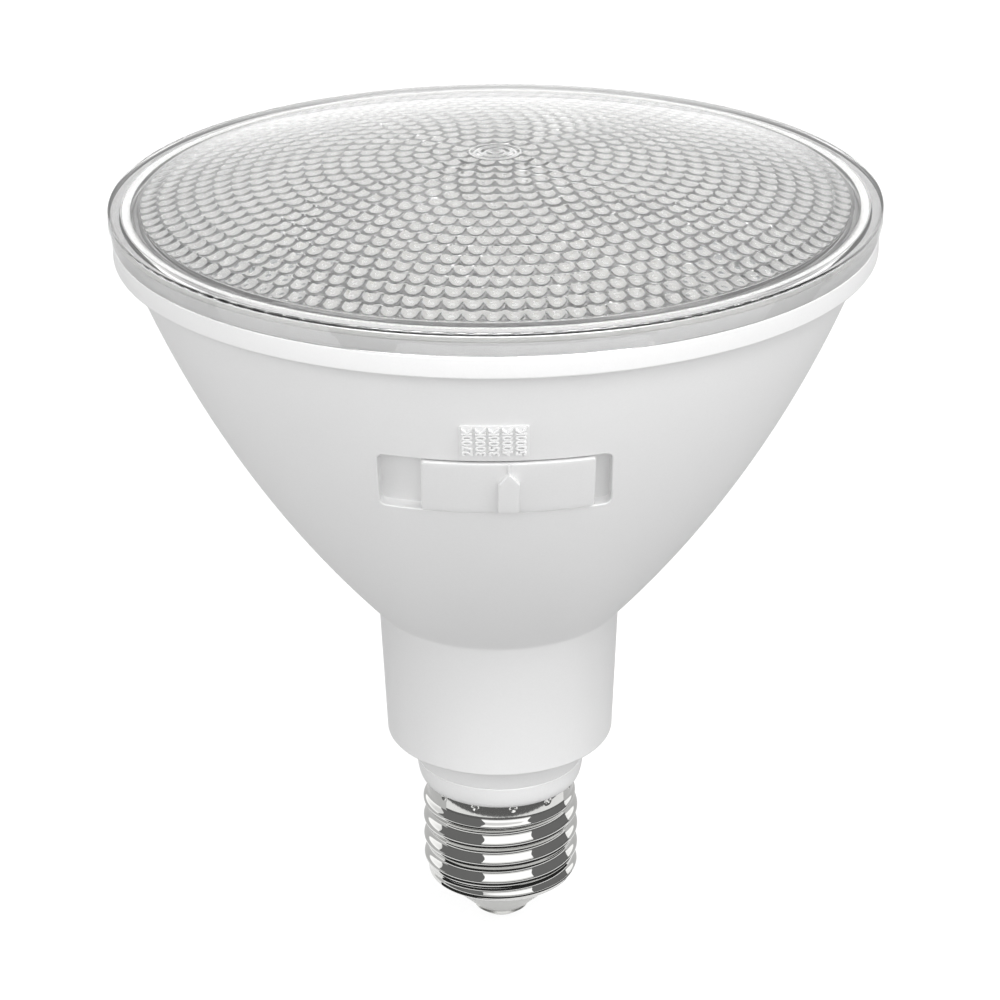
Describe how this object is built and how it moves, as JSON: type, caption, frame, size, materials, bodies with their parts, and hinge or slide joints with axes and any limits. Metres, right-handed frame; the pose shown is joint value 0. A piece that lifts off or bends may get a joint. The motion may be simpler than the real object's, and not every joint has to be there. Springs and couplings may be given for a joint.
{
  "type": "par spotlight bulb",
  "caption": "Wide reflector LED lamp: clear bumpy lens, white flared housing with a side colour slider, cylindrical neck and a medium screw base.",
  "frame": {"origin": "tip of the centre contact, on the lamp's axis", "axes": "+Z along the lamp's axis from the base to the lens; the colour slider faces -Y"},
  "size_m": [0.121, 0.121, 0.1374],
  "materials": {
    "clear_lens": "clear moulded polycarbonate",
    "silicone": "matte",
    "white_housing": "fine spark texture",
    "drawn_aluminium": "drawn, satin",
    "white_board": "white solder mask",
    "warm_phosphor": "silicone with phosphor",
    "cool_phosphor": "silicone with phosphor",
    "plated_steel": "zinc plated",
    "white_reflector": "satin",
    "white_slider": "fine spark texture",
    "tinned_steel": "tinned",
    "black_plastic": "moulded",
    "green_board": "solder mask",
    "ferrite": "sintered",
    "yellow_tape": "polyester tape",
    "capacitor_sleeve": "shrunk sleeve",
    "film_case": "moulded case",
    "blue_epoxy": "dipped",
    "green_enamel": "enamel",
    "lead_insulation": "extruded",
    "nickel_plate": "nickel plated",
    "base_insulator": "moulded",
    "nickel_contact": "nickel plated"
  },
  "bodies": {
    "lamp": {"lens": "clear_lens", "lens_gasket": "silicone", "housing": "white_housing", "heat_sink": "drawn_aluminium", "led_board": "white_board", "warm_leds": "warm_phosphor", "cool_leds": "cool_phosphor", "board_screws": "plated_steel", "reflector": "white_reflector", "switch_body": "tinned_steel", "switch_board": "green_board", "switch_screws": "plated_steel", "driver_board": "green_board", "transformer_core": "ferrite", "transformer_winding": "yellow_tape", "input_capacitor": "capacitor_sleeve", "output_capacitor": "capacitor_sleeve", "film_capacitor": "film_case", "filter_choke": "ferrite", "varistor": "blue_epoxy", "fuse_resistor": "green_enamel", "bridge_rectifier": "black_plastic", "driver_chip": "black_plastic", "led_leads": "lead_insulation", "switch_leads": "lead_insulation", "neutral_lead": "lead_insulation", "live_lead": "lead_insulation", "screw_shell": "nickel_plate", "insulator": "base_insulator", "centre_contact": "nickel_contact"},
    "selector": {"selector_slider": "white_slider"},
    "lever": {"switch_lever": "black_plastic"}
  },
  "joints": [
    {"name": "selector_turn", "type": "hinge", "parent": "lamp", "child": "selector", "pos_m": [0, 0, 0.10115], "axis": [0, 0, 1], "range_deg": [-7.2, 2.4]},
    {"name": "lever_slide", "type": "slide", "parent": "lamp", "child": "lever", "axis": [1, 0, 0], "range_m": [-0.00545, 0.00185]}
  ],
  "couplings": [
    {"joint": "lever_slide", "follows": "selector_turn", "m_per_rad": 0.04304}
  ]
}
